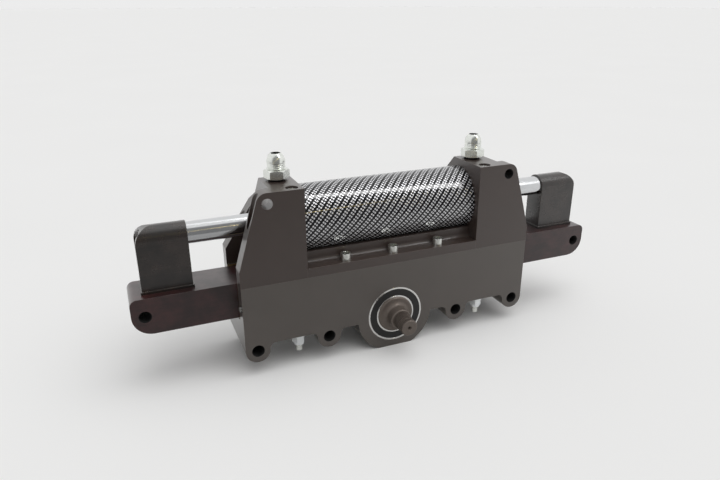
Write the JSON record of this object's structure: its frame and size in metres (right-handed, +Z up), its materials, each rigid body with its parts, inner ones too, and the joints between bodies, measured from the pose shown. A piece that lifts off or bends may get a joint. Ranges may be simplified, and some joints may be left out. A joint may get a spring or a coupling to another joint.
{
  "type": "power steering rack",
  "caption": "Hydraulic power steering rack: a double-ended power cylinder on end towers above a rack and pinion housing with mounting lugs, joined to the rack bar by rod blocks.",
  "frame": {"origin": "middle of the line through the lower mounting holes, at mid depth of the housing", "axes": "+X along the rack to the right seen from the input shaft, +Y along the mounting holes to the back, +Z up towards the power cylinder"},
  "size_m": [0.465, 0.1035, 0.1913],
  "materials": {
    "anodised_grey": "satin anodised",
    "honed_steel": "honed",
    "woven_composite": "woven under clear gloss",
    "seal_rubber": "matte",
    "wear_plastic": "matte",
    "bearing_bronze": "machined",
    "zinc_steel": "bright zinc",
    "bearing_steel": "ground",
    "black_steel": "black oxide",
    "brown_steel": "dark coated satin",
    "hard_chrome": "polished",
    "bare_aluminium": "turned",
    "pinion_steel": "machined, heat tinted"
  },
  "bodies": {
    "housing": {"rack_housing": "anodised_grey", "middle_plate": "anodised_grey", "left_tower": "anodised_grey", "right_tower": "anodised_grey", "cylinder_liner": "honed_steel", "woven_sleeve": "woven_composite", "liner_seals": "seal_rubber", "rod_glands": "bearing_bronze", "rod_seals": "seal_rubber", "rod_wipers": "seal_rubber", "plate_screws": "zinc_steel", "tower_screws": "zinc_steel", "front_tie_bolts": "zinc_steel", "back_tie_bolts": "zinc_steel", "tie_nuts": "zinc_steel", "tie_washers": "zinc_steel", "hose_fittings": "zinc_steel", "fitting_seals": "seal_rubber", "rack_guides": "bearing_bronze", "guide_screws": "zinc_steel", "top_pad": "bearing_bronze", "front_outer_race": "bearing_steel", "front_balls_set": "bearing_steel", "front_bearing_seals": "seal_rubber", "rear_outer_race": "bearing_steel", "rear_balls_set": "bearing_steel", "rear_retaining_ring": "black_steel"},
    "rack": {"rack_bar": "brown_steel", "piston_rod": "hard_chrome", "piston": "bare_aluminium", "piston_seal": "seal_rubber", "piston_wear_ring": "wear_plastic", "piston_clips": "black_steel", "left_rod_block": "black_steel", "right_rod_block": "black_steel", "block_bolts": "black_steel", "rod_screws": "black_steel"},
    "pinion": {"pinion_shaft": "pinion_steel", "front_inner_race": "bearing_steel", "rear_inner_race": "bearing_steel"}
  },
  "joints": [
    {"name": "rack_slide", "type": "slide", "parent": "housing", "child": "rack", "axis": [1, 0, 0], "range_m": [-0.0635, 0.0635]},
    {"name": "pinion_spin", "type": "hinge", "parent": "housing", "child": "pinion", "pos_m": [0, 0, 0.009], "axis": [0, 1, 0], "range_deg": [-172, 172]}
  ],
  "couplings": [
    {"joint": "pinion_spin", "follows": "rack_slide", "rad_per_m": 47.059}
  ]
}
